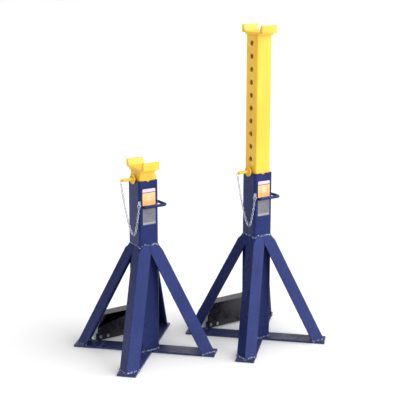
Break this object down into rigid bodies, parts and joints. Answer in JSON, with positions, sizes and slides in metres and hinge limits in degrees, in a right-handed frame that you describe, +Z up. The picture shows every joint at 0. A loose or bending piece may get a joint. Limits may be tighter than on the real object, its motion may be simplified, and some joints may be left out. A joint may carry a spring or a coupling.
{
  "type": "axle jack stands",
  "caption": "Tall pin-type axle stands: yellow square lift columns with trough saddles in blue braced tubes on cross feet, with chained pins, carry handles and tip-and-roll wheels.",
  "frame": {"origin": "middle of the pair's footprint, on the floor", "axes": "+Z up along the lift columns; X and Y square to the tubes' faces, with the pins pulling towards -X, the labels facing -Y and the wheels on the +Y side; the low stand is at -X and the high stand at +X"},
  "size_m": [0.8466, 0.575, 1.1883],
  "materials": {
    "blue_paint": "gloss navy enamel with slight orange peel and worn edges",
    "yellow_paint": "semi-gloss yellow powder coat",
    "black_paint": "gloss black powder coat on folded sheet",
    "zinc": "bright zinc plate",
    "wheel_plastic": "moulded pale grey-green plastic",
    "orange_label": null,
    "grey_label": null
  },
  "bodies": {
    "low_frame": {"low_base_bar_long": "blue_paint", "low_base_bar_front": "blue_paint", "low_base_bar_back": "blue_paint", "low_guide_tube": "blue_paint", "low_leg_front": "blue_paint", "low_leg_right": "blue_paint", "low_leg_back": "blue_paint", "low_leg_left": "blue_paint", "low_carry_handle": "blue_paint", "low_upper_label": "orange_label", "low_lower_label": "grey_label", "low_chain_anchor": "zinc", "low_anchor_ring": "zinc", "low_chain_anchor_arm": "zinc", "low_wheel_housing": "black_paint", "low_wheel_axle": "zinc", "low_lug_left": "blue_paint", "low_lug_right": "blue_paint", "low_lug_bolt_left": "zinc", "low_lug_bolt_right": "zinc", "low_plate_bolt_left": "zinc", "low_plate_bolt_right": "zinc"},
    "low_column": {"low_lift_column": "yellow_paint", "low_saddle": "yellow_paint"},
    "low_pin": {"low_support_pin": "yellow_paint", "low_pin_collar": "yellow_paint", "low_pin_ring": "zinc", "low_chain_pin_arm": "zinc"},
    "low_wheel_left": {"low_wheel_left": "wheel_plastic"},
    "low_wheel_right": {"low_wheel_right": "wheel_plastic"},
    "high_frame": {"high_base_bar_long": "blue_paint", "high_base_bar_front": "blue_paint", "high_base_bar_back": "blue_paint", "high_guide_tube": "blue_paint", "high_leg_front": "blue_paint", "high_leg_right": "blue_paint", "high_leg_back": "blue_paint", "high_leg_left": "blue_paint", "high_carry_handle": "blue_paint", "high_upper_label": "orange_label", "high_lower_label": "grey_label", "high_chain_anchor": "zinc", "high_anchor_ring": "zinc", "high_chain_anchor_arm": "zinc", "high_wheel_housing": "black_paint", "high_wheel_axle": "zinc", "high_lug_left": "blue_paint", "high_lug_right": "blue_paint", "high_lug_bolt_left": "zinc", "high_lug_bolt_right": "zinc", "high_plate_bolt_left": "zinc", "high_plate_bolt_right": "zinc"},
    "high_column": {"high_lift_column": "yellow_paint", "high_saddle": "yellow_paint"},
    "high_pin": {"high_support_pin": "yellow_paint", "high_pin_collar": "yellow_paint", "high_pin_ring": "zinc", "high_chain_pin_arm": "zinc"},
    "high_wheel_left": {"high_wheel_left": "wheel_plastic"},
    "high_wheel_right": {"high_wheel_right": "wheel_plastic"}
  },
  "joints": [
    {"name": "stand_spacing", "type": "slide", "parent": "low_frame", "child": "high_frame", "axis": [1, 0, 0], "range_m": [0, 0.3]},
    {"name": "low_lift", "type": "slide", "parent": "low_frame", "child": "low_column", "axis": [0, 0, 1], "range_m": [0, 0.18]},
    {"name": "low_pin_pull", "type": "slide", "parent": "low_column", "child": "low_pin", "axis": [-1, 0, 0], "range_m": [0, 0.1]},
    {"name": "low_wheel_left_spin", "type": "hinge", "parent": "low_frame", "child": "low_wheel_left", "pos_m": [-0.3123, 0.2503, 0.04], "axis": [1, 0, 0], "continuous": true},
    {"name": "low_wheel_right_spin", "type": "hinge", "parent": "low_frame", "child": "low_wheel_right", "pos_m": [-0.1073, 0.2503, 0.04], "axis": [1, 0, 0], "continuous": true},
    {"name": "high_lift", "type": "slide", "parent": "high_frame", "child": "high_column", "axis": [0, 0, 1], "range_m": [0, 0.045]},
    {"name": "high_pin_pull", "type": "slide", "parent": "high_column", "child": "high_pin", "axis": [-1, 0, 0], "range_m": [0, 0.1]},
    {"name": "high_wheel_left_spin", "type": "hinge", "parent": "high_frame", "child": "high_wheel_left", "pos_m": [0.1073, 0.1257, 0.04], "axis": [1, 0, 0], "continuous": true},
    {"name": "high_wheel_right_spin", "type": "hinge", "parent": "high_frame", "child": "high_wheel_right", "pos_m": [0.3123, 0.1257, 0.04], "axis": [1, 0, 0], "continuous": true}
  ]
}
